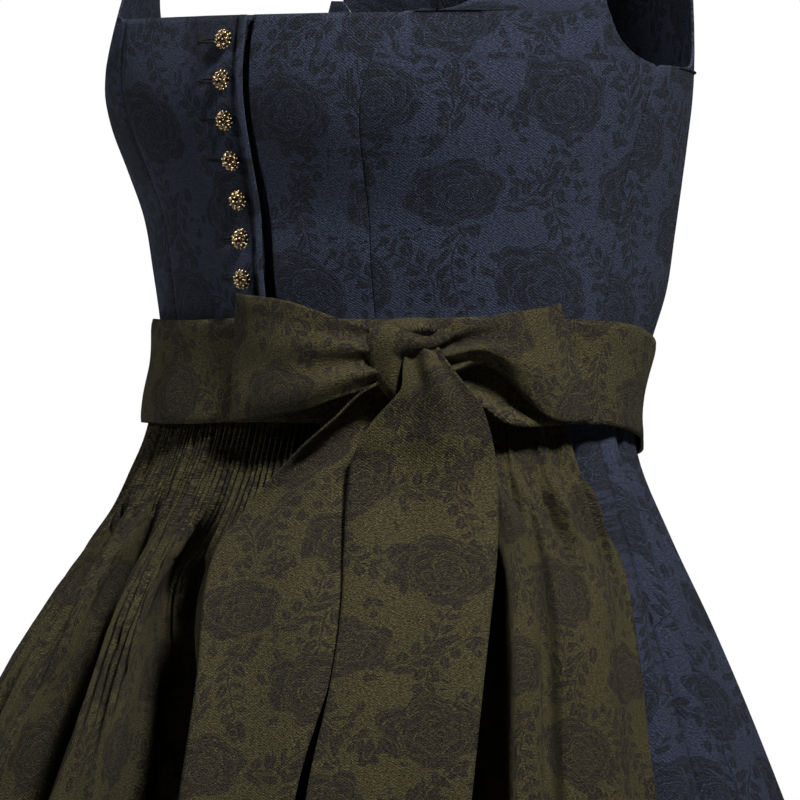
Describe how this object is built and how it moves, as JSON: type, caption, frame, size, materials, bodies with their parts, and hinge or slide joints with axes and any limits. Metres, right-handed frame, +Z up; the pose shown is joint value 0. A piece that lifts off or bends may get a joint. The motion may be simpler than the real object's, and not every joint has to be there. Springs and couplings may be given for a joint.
{
  "type": "dirndl",
  "caption": "European folk dress: fitted bodice with wide straps and dome buttons, pleated skirt, and an apron gathered into a band tied in a bow at the side.",
  "frame": {"origin": "middle of the waist seam, in the hollow where the wearer's waist is", "axes": "+Z up the body, the wearer faces -Y, +X to the wearer's left"},
  "size_m": [0.6826, 0.6725, 1.02],
  "materials": {
    "navy_jacquard": "matt tone-on-tone jacquard",
    "olive_jacquard": "matt tone-on-tone jacquard",
    "antique_gold": "antique gold filigree"
  },
  "bodies": {
    "root": {"front_right": "navy_jacquard", "front_left": "navy_jacquard", "side_front_right": "navy_jacquard", "side_front_left": "navy_jacquard", "side_back_right": "navy_jacquard", "side_back_left": "navy_jacquard", "back_right": "navy_jacquard", "back_left": "navy_jacquard", "skirt_front": "navy_jacquard", "skirt_back_left": "navy_jacquard", "skirt_back_right": "navy_jacquard", "apron_panel": "olive_jacquard", "waistband": "olive_jacquard", "tie_round_back": "olive_jacquard", "bow_knot": "olive_jacquard", "bow_loop_left": "olive_jacquard", "bow_loop_right": "olive_jacquard", "bow_tail_left": "olive_jacquard", "bow_tail_right": "olive_jacquard", "button_1": "antique_gold", "button_2": "antique_gold", "button_3": "antique_gold", "button_4": "antique_gold", "button_5": "antique_gold", "button_6": "antique_gold", "button_7": "antique_gold"}
  },
  "joints": []
}
